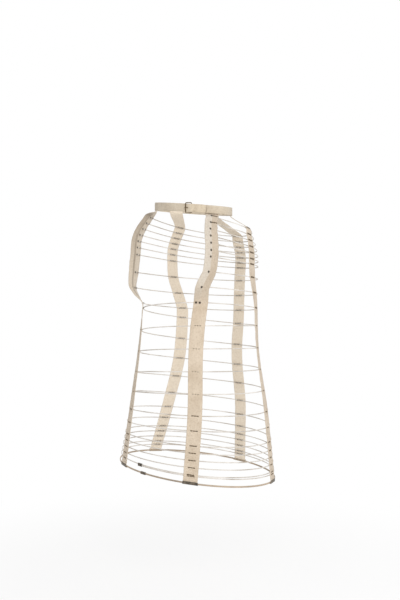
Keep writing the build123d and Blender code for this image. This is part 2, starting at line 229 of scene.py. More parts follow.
def seated(cores, i):
    """Station of a tape: middle, cross direction, outward normal, mitre and hollowness of the bend."""
    point, normal, across, thick, tall = cores[i]
    near = [cores[k][0] for k in (i - 1, i + 1) if 0 <= k < len(cores)]
    runs = [run_normal(normal, *sorted((point, other), key=lambda v: -v.z)) for other in near]
    middle = sum(runs[1:], runs[0]).normalized()
    mitre = max(1 / middle.dot(r) for r in runs)
    hollow = max([0] + [(other - point).normalized().dot(middle) for other in near])
    lift = 0
    if thick:
        reach = max((abs(r.dot(normal)) * thick / 2 + abs(r.z) * tall / 2) / middle.dot(r) for r in runs)
        lift = reach + (seat_gap + tape_thick / 2) * mitre
    return point + middle * lift, across, middle, mitre, hollow


# Stations of a tape: two at the waist, one for each half-hoop, then the turns of the spiral, and two at the hem
first_hoop, hem_stations = 2, 2
first_turn = first_hoop + len(hip_drops)


# Meshes
def mesh_object(name, points, faces, corners=None):
    """Smooth object from points, faces and, for each face corner, a UV; lengths in millimetres."""
    mesh = bpy.data.meshes.new(name)
    mesh.from_pydata([p * MM for p in points], [], faces)
    if corners:
        layer = mesh.uv_layers.new(name="UVMap")
        for loop, uv in zip(layer.data, corners):
            loop.uv = (uv[0] * MM, uv[1] * MM)
    mesh.polygons.foreach_set("use_smooth", [True] * len(mesh.polygons))
    work = bmesh.new()
    work.from_mesh(mesh)
    bmesh.ops.recalc_face_normals(work, faces=work.faces)
    work.to_mesh(mesh)
    work.free()
    thing = bpy.data.objects.new(name, mesh)
    bpy.context.collection.objects.link(thing)
    return thing


def mark(thing, **shares):
    """Gives each point a share under a name, for its material to read."""
    for name, values in shares.items():
        thing.data.attributes.new(name, "FLOAT", "POINT").data.foreach_set("value", values)


def bands(base, rings, count):
    """Faces between neighbouring rings of points, the first of which has the number base."""
    faces = []
    for i in range(rings - 1):
        low, high = base + i * count, base + (i + 1) * count
        for j in range(count):
            k = (j + 1) % count
            faces.append((low + j, low + k, high + k, high + j))
    return faces


def lofted(rings, runs, rounds):
    """Points, faces and UVs of a closed skin over rings, with flat caps at both ends."""
    count = len(rings[0])
    points = [p for ring in rings for p in ring]
    faces, corners = bands(0, len(rings), count), []
    for start, end in zip(runs, runs[1:]):
        for low, high in zip(rounds, rounds[1:]):
            corners += [(start, low), (start, high), (end, high), (end, low)]
    last = (len(rings) - 1) * count
    for first, run in ((0, runs[0]), (last, runs[-1])):
        faces.append(tuple(range(first, first + count)))
        corners += [(run, rounds[j]) for j in range(count)]
    return points, faces, corners


def lengths(points):
    """Length run along a line of points at each of them."""
    total = [0.0]
    for a, b in zip(points, points[1:]):
        total.append(total[-1] + (b - a).length)
    return total


def even(first, last, pace, length):
    """Values from first to last whose spacing is about a length at a pace per unit."""
    count = max(1, round(abs(last - first) * pace / length))
    return [first + (last - first) * i / count for i in range(count + 1)]


def rounded_section(tall, thick, sides=12, square=3.0):
    """Rounded rectangle as (out, up) pairs."""
    pairs = []
    for i in range(sides):
        a = 2 * math.pi * (i + 0.5) / sides
        c, s = cos(a), sin(a)
        pairs.append((thick / 2 * math.copysign(abs(c) ** (2 / square), c),
                      tall / 2 * math.copysign(abs(s) ** (2 / square), s)))
    return pairs


# Covered steels: how evenly they run and how much their covers swell
spot_spacing = 6.0
hip_wobble, spiral_wobble, hem_wobble, wobble_length = 0.3, 0.2, 0.0, 90.0
cover_swell, swell_length = 0.05, 14.0


def covered_steel(name, spots, tall, thick, wobble):
    """Steel in its cover: a smooth strip of rounded section through (point, normal) spots."""
    section = rounded_section(tall, thick)
    girth = 2 * (tall + thick)
    rounds = [girth * j / len(section) for j in range(len(section) + 1)]
    runs = lengths([p for p, _ in spots])
    seed = sum(ord(c) for c in name)
    rings = []
    for (point, normal), run in zip(spots, runs):
        lift = wobble * noise.noise(Vector((run / wobble_length, seed, 0)))
        fat = 1 + cover_swell * noise.noise(Vector((run / swell_length, seed, 5)))
        rings.append([point + normal * (o * fat) + UP * (u * fat + lift) for o, u in section])
    return mesh_object(name, *lofted(rings, runs, rounds))


# Cloth of the tapes: columns on each side of the crease, spacing of rows, bends, uneven edges, painted shade on
# the front right tape and a stain on the front left tape's rear strip
tape_columns, tape_row, cloth_thick = 10, 4.0, 0.9
run_ease, crease_radius, loose_fold, edge_reach = 0.95, 5.0, radians(20), 0.999
edge_scallop, loose_scallop, scallop_length = 0.012, 0.05, 13.0
edge_ripple, ripple_length = 0.7, 17.0
grain_rise, grain_length = 0.12, 5.0
grey_columns, crease_columns = 2, 4
# Painted shade on the front right tape: weaker with depth on its free strip, stronger by the crease, and over its
# rear strip; the last value is a stain on the front left tape's rear strip.
shade_depth, shade_fade, crease_shade, right_shade, left_soil = 200.0, 0.6, 0.5, 0.4, 0.35


class Tape:
    """Cloth tape laid over the steels, with its stations, its flat length and its surface."""
    def __init__(self, name, column, mirror, waist_angle, folds, lifts):
        self.name, self.mirror = name, mirror
        self.cores = tape_cores(column, mirror, waist_angle)
        self.spots = [seated(self.cores, i) for i in range(len(self.cores))]
        self.points = [s[0] for s in self.spots]
        self.runs = lengths(self.points)
        self.folds, self.lifts = folds, lifts

    def at(self, k, t):
        """Middle, direction, cross direction, fold and lift at a share of the run after station k."""
        p, r = self.points, self.runs
        slopes = []
        for i in (k, k + 1):
            a, b = max(i - 1, 0), min(i + 1, len(p) - 1)
            slopes.append((p[b] - p[a]) / (r[b] - r[a]))
        h = r[k + 1] - r[k]
        m0, m1 = slopes[0] * h * run_ease, slopes[1] * h * run_ease
        point = (p[k] * (2 * t**3 - 3 * t**2 + 1) + m0 * (t**3 - 2 * t**2 + t)
                 + p[k + 1] * (3 * t**2 - 2 * t**3) + m1 * (t**3 - t**2))
        down = (p[k] * (6 * t**2 - 6 * t) + m0 * (3 * t**2 - 4 * t + 1)
                + p[k + 1] * (6 * t - 6 * t**2) + m1 * (3 * t**2 - 2 * t))
        across = self.spots[k][1].lerp(self.spots[k + 1][1], t).normalized()
        loosened = 0 if k == 0 else t if k == 1 else 1
        fold, lift = [loosened * at_level(values, -point.z) for values in (self.folds, self.lifts)]
        return point, down.normalized(), across, radians(fold), radians(lift)

    def row(self, k, t):
        """Points and ways out across the tape at one place, the run there and how loose the cloth hangs."""
        point, down, across, fold, lift = self.at(k, t)
        normal = down.cross(across).normalized()
        rear = across * self.mirror
        run = self.runs[k] * (1 - t) + self.runs[k + 1] * t
        seed = len(self.name) * 7 + self.mirror
        loose = min(1, abs(fold) / loose_fold)
        out = []
        for side, turn in ((-1, fold), (1, -lift)):
            half = []
            place = point - rear * crease_inset
            width = tape_width / 2 + side * crease_inset
            spacing = width / tape_columns
            wander = noise.noise(Vector((run / scallop_length, seed, side)))
            scallop = 1 + (edge_scallop + loose_scallop * loose) * wander
            wave = noise.noise(Vector((run / ripple_length, side * 3, seed)))
            for j in range(tape_columns + 1):
                w = j * spacing
                share = w / width
                bend = turn * min(1, w / crease_radius)
                ahead = rear * side * cos(bend) - normal * sin(bend)
                face = normal * cos(bend) + rear * side * sin(bend)
                if j:
                    place = place + ahead * (spacing * scallop)
                ripple = (edge_ripple + loose) * share**2 * wave
                grain = grain_rise * noise.noise(Vector((run / grain_length, w / grain_length * side, seed)))
                half.append((place + face * (ripple + grain * share), face))
            out.append(half)
        return list(reversed(out[0]))[:-1] + out[1], run, loose

    def surface(self, k, place):
        """Point on the middle of the cloth and way out at a station, a length behind the tape's middle."""
        row, _, _ = self.row(k, 0)
        reach = min(max((place + tape_width / 2) / tape_width, 0.0), edge_reach)
        front_share = (tape_width / 2 - crease_inset) / tape_width
        if reach < front_share:
            at = reach / front_share * tape_columns
        else:
            at = tape_columns * (1 + (reach - front_share) / (1 - front_share))
        i = int(at)
        (p, m), (q, n) = row[i], row[i + 1]
        return p.lerp(q, at - i), m.lerp(n, at - i).normalized()

    def build(self):
        """Mesh of the cloth, marked where it is turned over, where it is its inner face and where it is darker:
        painted shade on the front right tape, a stain on the front left tape's rear strip.
        """
        rings, runs, turned, inside, soiled = [], [], [], [], []
        left = self.mirror > 0
        deep = cloth_thick / 2
        last = len(self.points) - 2
        for k in range(last + 1):
            count = max(2, round((self.runs[k + 1] - self.runs[k]) / tape_row))
            for i in range(count + (k == last)):
                row, run, loose = self.row(k, i / count)
                free = [loose * (j < tape_columns + grey_columns * left) for j in range(len(row))]
                behind = [loose - f for f in free]
                if left:
                    dull = [left_soil * b for b in behind]
                else:
                    # Front right tape: painted shade on the free strip, fading downwards and deeper along the
                    # crease, and painted shade on the rear strip.
                    fade = 1 - shade_fade * min(1, -row[tape_columns][0].z / shade_depth)
                    dull = [f * min(1, fade + crease_shade * (j > tape_columns - crease_columns)) + right_shade * b
                            for j, (f, b) in enumerate(zip(free, behind))]
                turned += [f * left for f in free] + [0] * len(row)
                # Paler colour on the inner face is painted light, brightening the far tapes seen through the cage.
                inside += [0] * len(row) + [1] * len(row)
                soiled += dull + list(reversed(dull))
                rings.append([p + n * deep for p, n in row] + [p - n * deep for p, n in reversed(row)])
                runs.append(run)
        size = 2 * tape_columns + 1
        across = [tape_width * j / (size - 1) for j in range(size)]
        thing = mesh_object(self.name, *lofted(rings, runs, across + list(reversed(across)) + [0]))
        mark(thing, turned=turned, inside=inside, soiled=soiled)
        return thing


# Materials, with their lengths in metres
WHITE = (1, 1, 1)


def material(name):
    made = bpy.data.materials.new(name)
    made.use_nodes = True
    tree = made.node_tree
    return made, tree, tree.nodes["Principled BSDF"]


def node(tree, kind, **values):
    """New node, with values for its inputs and its settings."""
    made = tree.nodes.new(kind)
    for key, value in values.items():
        if key in made.inputs:
            made.inputs[key].default_value = value
        else:
            setattr(made, key, value)
    return made


def joined(tree, kind, operation, *sources):
    """Maths node fed by its sources in order."""
    made = node(tree, kind, operation=operation)
    for source, socket in zip(sources, made.inputs):
        tree.links.new(source, socket)
    return made


def object_place(tree):
    return tree.nodes.new("ShaderNodeTexCoord").outputs["Object"]


def ramp(tree, source, stops):
    """Colour ramp from (place, colour) stops."""
    made = tree.nodes.new("ShaderNodeValToRGB")
    points = made.color_ramp.elements
    while len(points) < len(stops):
        points.new(0.5)
    for point, (place, colour) in zip(points, stops):
        point.position = place
        point.color = (*colour, 1)
    tree.links.new(source, made.inputs["Fac"])
    return made.outputs["Color"]


def mixed(tree, share, first, second, mode="MIX"):
    """Two colours mixed by a share; each of the three is a value or a socket."""
    made = node(tree, "ShaderNodeMix", data_type="RGBA", blend_type=mode)
    for key, value in (("Factor", share), ("A", first), ("B", second)):
        if hasattr(value, "links"):
            tree.links.new(value, made.inputs[key])
        else:
            made.inputs[key].default_value = value
    return made.outputs["Result"]


def ranged(tree, value, low, high, start=0.0, end=1.0, kind="LINEAR"):
    """Value carried from the range low to high into the range start to end."""
    made = node(tree, "ShaderNodeMapRange", interpolation_type=kind)
    tree.links.new(value, made.inputs["Value"])
    for key, number in (("From Min", low), ("From Max", high), ("To Min", start), ("To Max", end)):
        made.inputs[key].default_value = number
    return made.outputs["Result"]


def scaled_uv(tree, across, along):
    """UV in metres, scaled to threads."""
    uv = node(tree, "ShaderNodeUVMap", uv_map="UVMap")
    place = node(tree, "ShaderNodeMapping", Scale=(along, across, 1))
    tree.links.new(uv.outputs["UV"], place.inputs["Vector"])
    return place.outputs["Vector"]


def stripes(tree, direction, across, along, distortion, detail):
    """Stripes of thread laid by the UV."""
    made = node(tree, "ShaderNodeTexWave", wave_type="BANDS", bands_direction=direction,
                Scale=1.0, Distortion=distortion, Detail=detail)
    tree.links.new(scaled_uv(tree, across, along), made.inputs["Vector"])
    return made.outputs["Fac"]


def mottled(tree, place, scale, detail, roughness=0.5):
    """Uneven patches."""
    made = node(tree, "ShaderNodeTexNoise", Scale=scale, Detail=detail, Roughness=roughness)
    tree.links.new(place, made.inputs["Vector"])
    return made.outputs["Fac"]


def bumped(tree, height, strength, distance, normal=None):
    """Normal that follows a height, over another normal where one is given."""
    made = node(tree, "ShaderNodeBump", Strength=strength, Distance=distance)
    tree.links.new(height, made.inputs["Height"])
    if normal:
        tree.links.new(normal, made.inputs["Normal"])
    return made.outputs["Normal"]


def woven(name, light, dark, grey, pale, dull, thread, rib):
    """Woven cotton with ribs, twill, slubs and stains: grey where marked turned, which on the waistband is painted
    shade; pale on inner faces, which is painted light; dull where marked darker, which is painted shade, apart
    from a stain on the front left tape's rear strip.
    """
    made, tree, shader = material(name)
    ribs = stripes(tree, "X", 120.0, 1 / rib, 0.5, 1.0)
    twill = stripes(tree, "DIAGONAL", 1 / thread, 1 / thread, 0.8, 1.0)
    slubs = mottled(tree, scaled_uv(tree, 900.0, 60.0), 1.0, 3.0)
    stains = mottled(tree, object_place(tree), 22.0, 4.0, 0.6)
    flecks = mottled(tree, object_place(tree), 260.0, 3.0, 0.7)
    colour = ramp(tree, stains, [(0.30, dark), (0.62, light)])
    for attribute, other in (("turned", grey), ("inside", pale), ("soiled", dull)):
        share = node(tree, "ShaderNodeAttribute", attribute_name=attribute)
        colour = mixed(tree, share.outputs["Fac"], colour, (*other, 1))
    for pattern, strength, stops in (
        (flecks, 0.5, [(0.34, (0.74, 0.68, 0.60)), (0.50, WHITE), (0.72, (1.06, 1.06, 1.06))]),
        (twill, 0.75, [(0.0, (0.86, 0.85, 0.82)), (0.7, WHITE)]),
        (slubs, 0.8, [(0.30, (0.90, 0.88, 0.85)), (0.60, WHITE)]),
        (ribs, 0.8, [(0.0, (0.93, 0.92, 0.90)), (0.6, WHITE)]),
    ):
        colour = mixed(tree, strength, colour, ramp(tree, pattern, stops), "MULTIPLY")
    tree.links.new(colour, shader.inputs["Base Color"])
    twill_bump = bumped(tree, twill, 0.5, 0.0004)
    tree.links.new(bumped(tree, ribs, 0.35, 0.0005, twill_bump), shader.inputs["Normal"])
    shader.inputs["Roughness"].default_value = 0.85
    shader.inputs["Sheen Weight"].default_value = 0.25
    shader.inputs["Specular IOR Level"].default_value = 0.25
    return made


def covered(name, light, dark, grime, pitch, patches):
    """Tight braided cover of a steel, dirty in places."""
    made, tree, shader = material(name)
    one, two = [stripes(tree, "DIAGONAL", hand / pitch, 1 / pitch, 0.3, 2.0) for hand in (1, -1)]
    braid = joined(tree, "ShaderNodeMath", "MAXIMUM", one, two).outputs["Value"]
    soil = mottled(tree, object_place(tree), patches, 4.0, 0.62)
    ground = ramp(tree, soil, [(0.30, grime), (0.48, dark), (0.66, light)])
    strands = ramp(tree, braid, [(0.25, (0.66, 0.63, 0.58)), (0.85, WHITE)])
    tree.links.new(mixed(tree, 0.8, ground, strands, "MULTIPLY"), shader.inputs["Base Color"])
    tree.links.new(bumped(tree, braid, 0.5, 0.0002), shader.inputs["Normal"])
    shader.inputs["Roughness"].default_value = 0.75
    shader.inputs["Specular IOR Level"].default_value = 0.3
    return made


dull_rise, shine_drop = 0.15, 0.1
full_inward = 0.12


def worn_metal(name, light, dark, metallic, roughness, scale, bare=None):
    """Old mottled metal with duller and shinier places, and a bare colour, if given, on faces turned inwards."""
    made, tree, shader = material(name)
    place = object_place(tree)
    mottle = mottled(tree, place, scale, 5.0, 0.65)
    colour = ramp(tree, mottle, [(0.35, dark), (0.68, light)])
    if bare:
        inwards = joined(tree, "ShaderNodeVectorMath", "MULTIPLY", place)
        inwards.inputs[1].default_value = (-1, -1, 0)
        normal = tree.nodes.new("ShaderNodeNewGeometry").outputs["Normal"]
        facing = joined(tree, "ShaderNodeVectorMath", "DOT_PRODUCT", inwards.outputs["Vector"], normal)
        colour = mixed(tree, ranged(tree, facing.outputs["Value"], 0.0, full_inward), colour, (*bare, 1))
    tree.links.new(colour, shader.inputs["Base Color"])
    rough = ranged(tree, mottle, 0.0, 1.0, roughness + dull_rise, roughness - shine_drop)
    tree.links.new(rough, shader.inputs["Roughness"])
    tree.links.new(bumped(tree, mottle, 0.25, 0.0002), shader.inputs["Normal"])
    shader.inputs["Metallic"].default_value = metallic
    return made


def thread_stuff(name, light, dark):
    """Twisted thread."""
    made, tree, shader = material(name)
    twist = mottled(tree, object_place(tree), 600.0, 2.0)
    tree.links.new(ramp(tree, twist, [(0.35, dark), (0.65, light)]), shader.inputs["Base Color"])
    tree.links.new(bumped(tree, twist, 0.4, 0.0001), shader.inputs["Normal"])
    shader.inputs["Roughness"].default_value = 0.8
    return made


# For the tapes, pale is painted light on the inner faces, and dull is painted shade, apart from a stain on the
# front left tape's rear strip.
cotton = woven(
    "cotton_tape", light=(0.77, 0.655, 0.525), dark=(0.655, 0.54, 0.415), grey=(0.71, 0.64, 0.555),
    pale=(0.92, 0.815, 0.68), dull=(0.42, 0.355, 0.285), thread=0.0011, rib=0.0030)
belt_light = (0.79, 0.69, 0.545)
# For the waistband, grey is painted shade away from the tail, and dull is the painted shadow at the tail's end.
belt_cotton = woven(
    "band_cotton", light=belt_light, dark=(0.60, 0.50, 0.37), grey=(0.62, 0.55, 0.46),
    pale=belt_light, dull=(0.44, 0.355, 0.26), thread=0.0012, rib=0.0025)
hoop_cloth = covered(
    "hoop_cover", light=(0.83, 0.79, 0.74), dark=(0.66, 0.615, 0.56), grime=(0.45, 0.395, 0.34),
    pitch=0.0011, patches=14.0)
hem_cloth = covered(
    "hem_cover", light=(0.74, 0.60, 0.44), dark=(0.46, 0.37, 0.28), grime=(0.24, 0.20, 0.16),
    pitch=0.0014, patches=4.0)
clip_light, clip_dark = (0.20, 0.16, 0.115), (0.024, 0.021, 0.018)
dark_metal = worn_metal("clip_metal", clip_light, clip_dark, metallic=0.6, roughness=0.45, scale=70.0)
channel_metal = worn_metal(
    "channel_metal", clip_light, clip_dark, metallic=0.4, roughness=0.5, scale=70.0, bare=(0.50, 0.41, 0.31))
stud_metal = worn_metal(
    "stud_metal", (0.12, 0.095, 0.07), (0.03, 0.025, 0.02), metallic=0.8, roughness=0.4, scale=400.0)
brass = worn_metal(
    "buckle_metal", (0.26, 0.19, 0.11), (0.085, 0.058, 0.032), metallic=0.9, roughness=0.4, scale=220.0)
brown_thread = thread_stuff("stitch_thread", (0.21, 0.148, 0.086), (0.08, 0.055, 0.032))
pale_thread = thread_stuff("seam_thread", (0.66, 0.55, 0.40), (0.52, 0.42, 0.30))


def piece(thing, stuff, slot, *nodes):
    """Finish a piece: material, body and the solids it stands for; the slot is not used."""
    thing.data.materials.append(stuff)
    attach(thing, "root")
    if nodes:
        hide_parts(*nodes)
    return thing


# Tapes
tapes = {}
for name, column, mirror, waist_angle, folds, lifts in (
    ("front_right_tape", front_right_angles, -1, front_waist_angle, right_fold_angles, no_fold_angles),
    ("side_right_tape", side_right_angles, -1, side_waist_angle, no_fold_angles, no_fold_angles),
    ("centre_back_tape", back_angles, 1, back_waist_angle, no_fold_angles, no_fold_angles),
    ("side_left_tape", side_left_angles, 1, side_waist_angle, no_fold_angles, no_fold_angles),
    ("front_left_tape", front_left_angles, 1, front_waist_angle, left_fold_angles, left_lift_angles),
):
    tape = Tape("cloth_" + name, column, mirror, waist_angle, folds, lifts)
    tapes[name] = tape
    cloth = piece(tape.build(), cotton, "cotton_tape", name)


# Hip half-hoops
def hoop_end(ring, tape_angle):
    return tape_angle - (crease_inset - hoop_setback) / step(ring, tape_angle).length


for number, drop in enumerate(hip_drops, 1):
    ring = level(drop)
    left, right = [hoop_end(ring, at_level(c, drop)) for c in (front_left_angles, front_right_angles)]
    angles = even(left, 360 - right, step(ring, 90).length, spot_spacing)
    name = f"hip_hoop_{number:02d}"
    hoop = covered_steel("covered_" + name, [ring(a) for a in angles], hoop_tall, hoop_thick, hip_wobble)
    piece(hoop, hoop_cloth, "hoop_cover", name)

# Spiral steel, from its lower end up
turns = even(0, spiral_turns, step(hem_ring, 0).length * 360, spot_spacing)
spiral_spots = [spiral_spot(t) for t in reversed(turns)]
spiral = covered_steel("covered_spiral_steel", spiral_spots, hoop_tall, hoop_thick, spiral_wobble)
piece(spiral, hoop_cloth, "hoop_cover", "spiral_steel")

# Hem hoop, straight where the clips hold it
hem_tapes = [front_left_angles[-1], side_left_angles[-1], back_angles[-1]]
hem_tapes += [360 - side_right_angles[-1], 360 - front_right_angles[-1]]


def hem_place(angle):
    for tape_angle in hem_tapes:
        low, high = held_angles(tape_angle)
        if low < angle < high:
            start, end = hem_ring(low)[0], hem_ring(high)[0]
            return start.lerp(end, (angle - low) / (high - low)), chord_normal(start, end)
    return hem_ring(angle)


hem_pace = step(hem_ring, hem_joint_angle).length
opening = hem_joint_opening / 2 / hem_pace
angles = even(hem_joint_angle + opening, 360 + hem_joint_angle - opening, hem_pace, spot_spacing)
hem = covered_steel("covered_hem_hoop", [hem_place(a) for a in angles], hem_tall, hem_thick, hem_wobble)
piece(hem, hem_cloth, "hem_cover", "hem_hoop")

# Clips and buckle keep the solids' shapes, with their edges eased
sharp_edge = radians(40)
for name, stuff, ease in (
    ("hem_tape_clips", channel_metal, 0.25),
    ("hem_joint_clip", dark_metal, 0.25),
    ("spiral_end_clip", dark_metal, 0.25),
    ("buckle_frame", brass, 0.45),
    ("buckle_prong", brass, 0.3),
):
    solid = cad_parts[name]
    solid.data.materials.clear()
    solid.data.materials.append(stuff)
    round_edges = solid.modifiers.new("eased_edges", "BEVEL")
    round_edges.width = ease * MM
    round_edges.segments = 3
    round_edges.limit_method = "ANGLE"
    round_edges.angle_limit = sharp_edge

# Studs: a domed head outside and a smaller clenched end inside, as (out, up) shares from rim to crown
dome_profile = ((1.0, 0.0), (1.03, 0.28), (0.95, 0.5), (0.72, 0.82), (0.40, 0.98))
dome_sides = 18
head_sink, clench_sink, clench_inset, clench_share = 0.3, 0.2, 0.5, 0.85


def dome(points, faces, seat, axis, across, size=1.0):
    """Adds a domed head with a rolled rim."""
    side = axis.cross(across).normalized()
    flat = side.cross(axis).normalized()
    base = len(points)
    for out, up in dome_profile:
        for i in range(dome_sides):
            a = 2 * math.pi * i / dome_sides
            spread = (flat * cos(a) + side * sin(a)) * (out * size * stud_diameter / 2)
            points.append(seat + spread + axis * (up * size * stud_tall))
    points.append(seat + axis * (size * stud_tall))
    points.append(seat)
    top, bottom = len(points) - 2, len(points) - 1
    faces.extend(bands(base, len(dome_profile), dome_sides))
    last = base + (len(dome_profile) - 1) * dome_sides
    for i in range(dome_sides):
        k = (i + 1) % dome_sides
        faces.append((last + i, last + k, top))
        faces.append((base + k, base + i, bottom))


for name, tape in (("left_hoop_studs", tapes["front_left_tape"]), ("right_hoop_studs", tapes["front_right_tape"])):
    points, faces = [], []
    inset = -crease_inset if tape.mirror > 0 else -right_stud_inset
    rows = [(spot, inset) for spot in tape.spots[first_hoop:first_turn]]
    if tape.mirror > 0:
        rows.append((tape.spots[first_turn - 1], -spiral_stud_lead))
    for (point, across, middle, mitre, hollow), inset in rows:
        lift = tape_thick / 2 * mitre + stud_gap + stud_diameter / 2 * hollow - head_sink
        dome(points, faces, point + across * inset + middle * lift, middle, across)
    for point, normal, across, thick, tall in tape.cores[first_hoop:first_turn]:
        end = point - across * (tape.mirror * clench_inset)
        dome(points, faces, end - normal * (thick / 2 - clench_sink), -normal, across, clench_share)
    piece(mesh_object("domed_" + name, points, faces), stud_metal, "stud_metal", name)

# Stitches: threads, the way a bundle of them lies along the cloth or round a steel, and how far they stray
thread_end, steep, askew = 0.6, 0.8, Vector((1, 0.3, 0))
strand_radius, strand_gap, wrap_gap_share, steel_radius = 0.5, 0.85, 1.2, 180.0
rise_stray, reach_stray, slope_stray, wrap_stray, row_stray = 0.25, 0.12, 0.5, 0.3, 1.5
dash_profile = ((-1.05, -0.6), (-0.85, 0.25), (0, 0.5), (0.85, 0.25), (1.05, -0.6))
wrap_profile = (
    (-1.3, 1.5, -1.2), (-0.9, 1.1, 0.5), (-0.4, 0.6, 1.3), (0.4, -0.6, 1.3), (0.9, -1.1, 0.5), (1.3, -1.5, -1.2))
wrap_slack, wrap_strands, wrap_places, hip_wrap_place = 0.3, 2, (-8.4, -2.8, 2.8, 8.4), 13.0
hip_dash_rows, hip_dash_places, hip_dash_length, hip_dash_strands = 2, (3.0, 9.0, 15.0), 5.2, 4
dash_share, dash_spread, dash_strands = 0.92, 7.0, 3
side_dash_spread, side_dash_strands = 9.5, 5
short_dash_turns, short_dash_length, short_dash_strands = 5, 3.0, 2


def threads(name, lines, radius, sides=6):
    """One object of short threads, each a thin tube along a line of points."""
    points, faces = [], []
    for line in lines:
        base, last = len(points), len(line) - 1
        for i, p in enumerate(line):
            ahead = (line[min(i + 1, last)] - line[max(i - 1, 0)]).normalized()
            side = ahead.cross(UP if abs(ahead.z) < steep else askew).normalized()
            over = ahead.cross(side)
            thin = radius * (thread_end if i in (0, last) else 1.0)
            for j in range(sides):
                a = 2 * math.pi * j / sides
                points.append(p + side * (thin * cos(a)) + over * (thin * sin(a)))
        faces.extend(bands(base, len(line), sides))
        for first in (base, base + last * sides):
            faces.append(tuple(range(first, first + sides)))
    return mesh_object(name, points, faces)


def jitter(a, b, c):
    """Noise that stays the same for the same three numbers."""
    return noise.noise(Vector((a * 3.17 + 0.31, b * 1.73 + 0.57, c * 2.41 + 0.13)))


def outer_dash(tape, k, place, length, strands):
    """Bundle of threads across the outer face of a tape, over the steel at a station."""
    lines = []
    for s in range(strands):
        rise = (s - (strands - 1) / 2) * strand_gap + rise_stray * jitter(k, place, s)
        reach = length / 2 * (1 + reach_stray * jitter(k, s, place))
        slope = slope_stray * jitter(k, place, 7)
        line = []
        for along, lift in dash_profile:
            point, out = tape.surface(k, place + along * reach)
            line.append(point + out * (cloth_thick / 2 + lift) + UP * (rise + slope * along))
        lines.append(line)
    return lines


def inner_wrap(tape, k, place, strands):
    """Bundle of threads wrapped round the inside of a steel at a station of a tape."""
    steel, normal, across, thick, tall = tape.cores[k]
    lines = []
    for s in range(strands):
        shift = place + (s - (strands - 1) / 2) * strand_gap * wrap_gap_share + wrap_stray * jitter(k, place, s)
        centre = steel + across * shift - normal * (shift**2 / steel_radius / 2)
        lines.append([centre + across * lean + UP * (up * tall / 2) - normal * (deep * (thick / 2 + wrap_slack))
                      for lean, up, deep in wrap_profile])
    return lines


for name, tape in tapes.items():
    lines = []
    front = name.startswith("front")
    for k in range(first_hoop, len(tape.spots) - hem_stations):
        half_hoop = k < first_turn
        if front and half_hoop:
            if k < first_hoop + hip_dash_rows:
                for place in hip_dash_places:
                    lines += outer_dash(tape, k, place, hip_dash_length, hip_dash_strands)
            lines += inner_wrap(tape, k, tape.mirror * hip_wrap_place, wrap_strands)
            continue
        spread, strands = dash_spread, dash_strands
        if half_hoop and name == "side_left_tape":
            spread, strands = side_dash_spread, side_dash_strands
        length = dash_share * spread
        if front and k < first_turn + short_dash_turns:
            length, strands = short_dash_length, short_dash_strands
        shift = row_stray * jitter(k, 2, 1)
        for place in (-spread, 0.0, spread):
            lines += outer_dash(tape, k, shift + place, length, strands)
        for place in wrap_places:
            lines += inner_wrap(tape, k, place, wrap_strands)
    piece(threads("stitches_" + name, lines, strand_radius), brown_thread, "cotton_tape")

# Waistband: its layers at the buckle, its rounded tip, its edges, and painted shade: a shadow at the tail's end
# and a darker grey away from the tail
belt_pace = step(waist_spot, buckle_angle).length
bar_place = (buckle_length - bar_wide) / 2
bar_out = (band_thick + bar_thick) / 2 + layer_gap
fold_out = band_thick + layer_gap
fold_over = 2 * bar_out
tail_out = 2 * fold_out
tail_over = fold_over + fold_out
wrap = (bar_wide + band_thick) / 2 + layer_gap
belt_columns, belt_spacing, mitre_limit = 12, 4.0, 0.5
tip_length, tip_share, tip_rise = 7.0, 0.55, 0.45
edge_drop, edge_thinning, belt_wave, belt_wave_length = 0.075, 0.35, 0.15, 30.0
# Painted shade on the waistband: a shadow over the last few millimetres of the tail, and a darker grey away from
# the tail.
end_shadow_length, belt_shade_share = 2.4, 0.35


def belt_spot(along, out):
    """Point on the middle of the belt at a length past the buckle and a height over the inner layer."""
    return waist_spot(buckle_angle + along / belt_pace, band_thick / 2 + out)[0]


def belt_run(first, last, out):
    return [belt_spot(along, out) for along in even(first, last, 1, belt_spacing)]


def eased(points):
    """Line with its corners cut, ends kept."""
    out = [points[0]]
    for a, b in zip(points, points[1:]):
        out += [a.lerp(b, 0.25), a.lerp(b, 0.75)]
    return out + [points[-1]]


